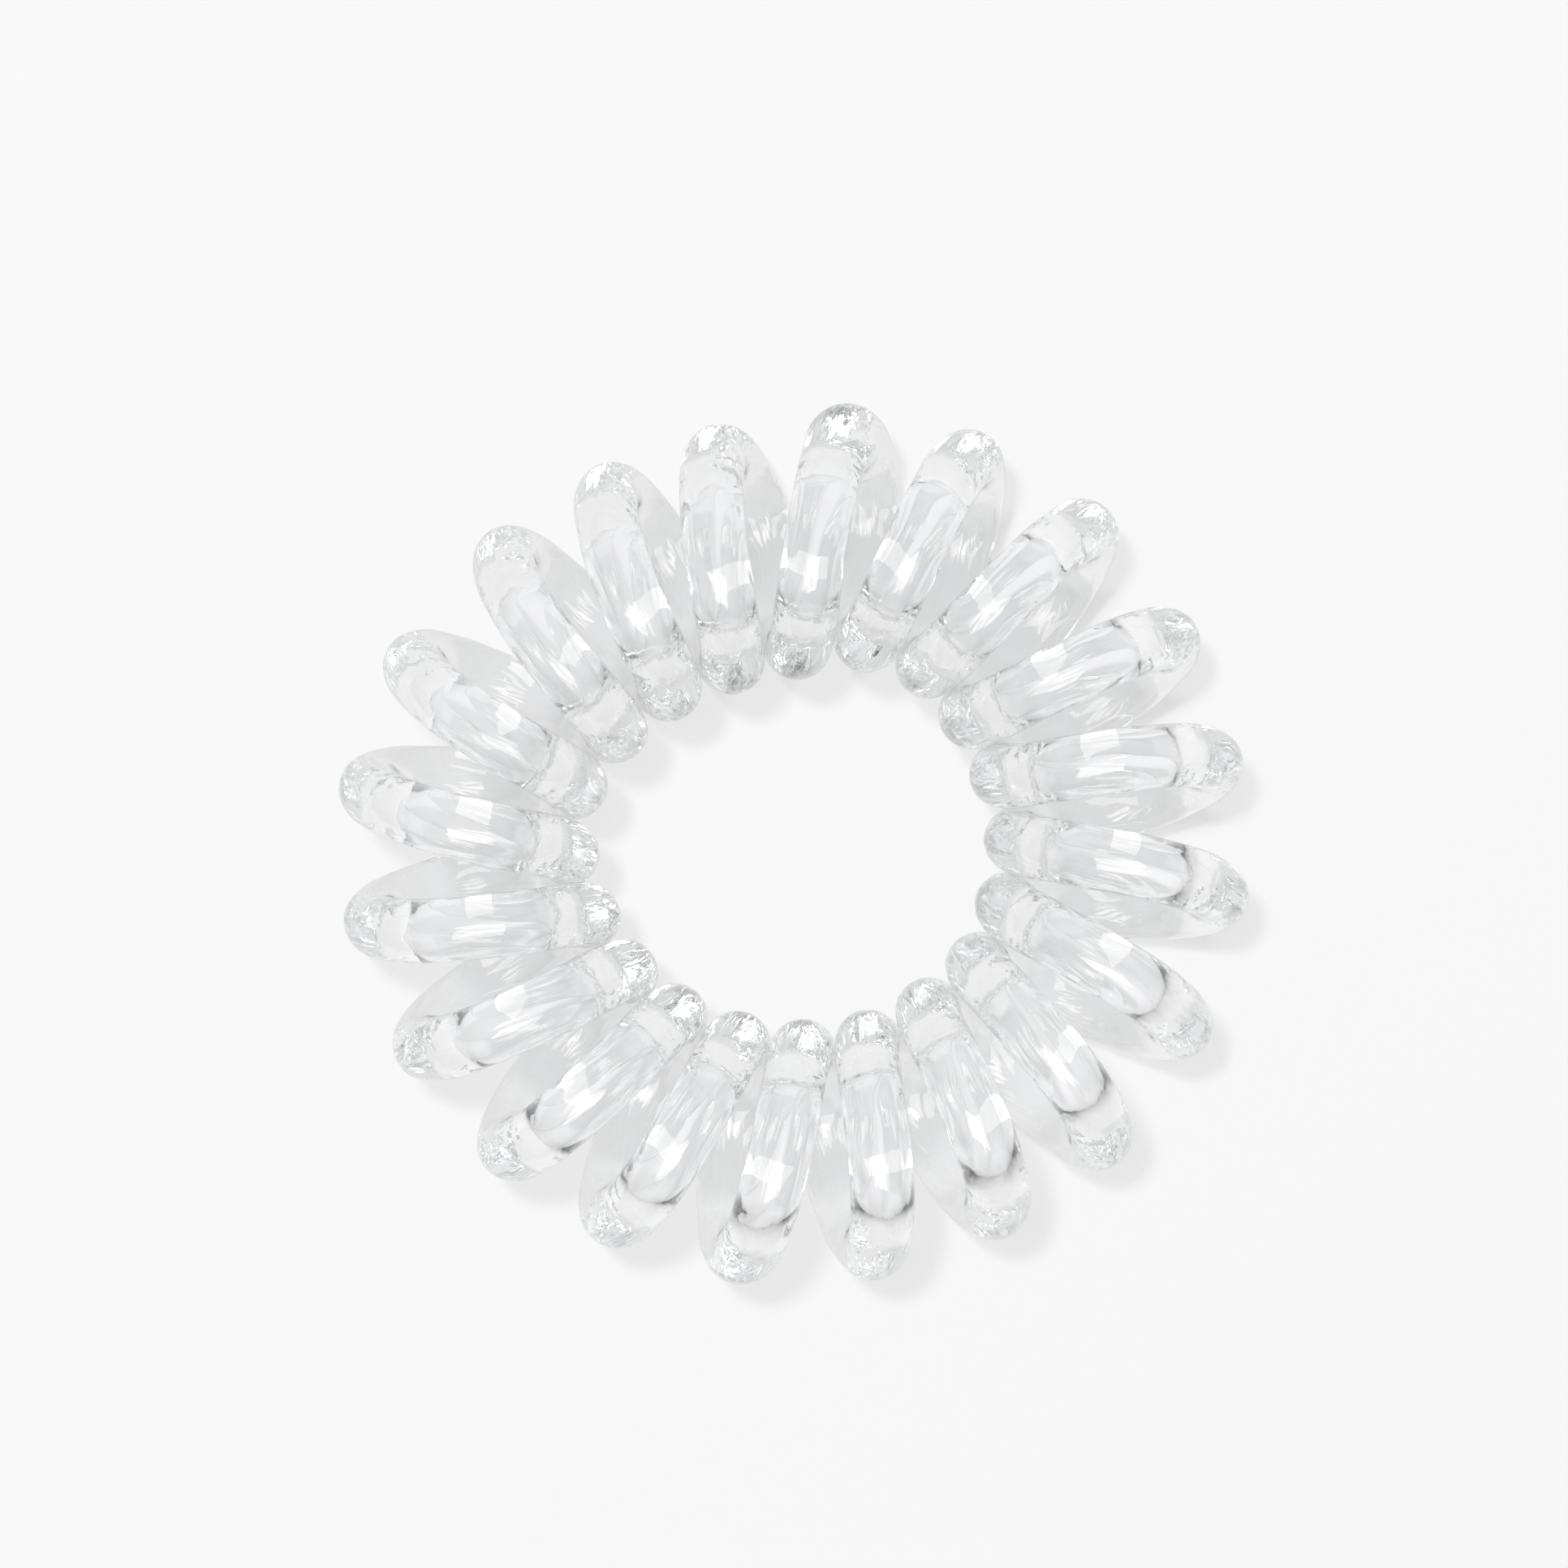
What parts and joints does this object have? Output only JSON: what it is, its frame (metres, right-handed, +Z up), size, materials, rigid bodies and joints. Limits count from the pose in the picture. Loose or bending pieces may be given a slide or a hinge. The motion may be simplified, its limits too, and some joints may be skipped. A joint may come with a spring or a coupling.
{
  "type": "spiral hair tie",
  "caption": "Clear springy cord wound as a coil and joined end to end into a small ring that grips a ponytail.",
  "frame": {"origin": "on the surface that the ring lies on, under the middle of its box", "axes": "+X to the right across the ring's widest way, +Y to the back, +Z up through the hole"},
  "size_m": [0.0392, 0.038, 0.0116],
  "materials": {
    "clear_cord": "clear, colourless soft plastic with a smooth wet-looking gloss and faint lines along the cord"
  },
  "bodies": {
    "root": {"coil": "clear_cord"}
  },
  "joints": []
}
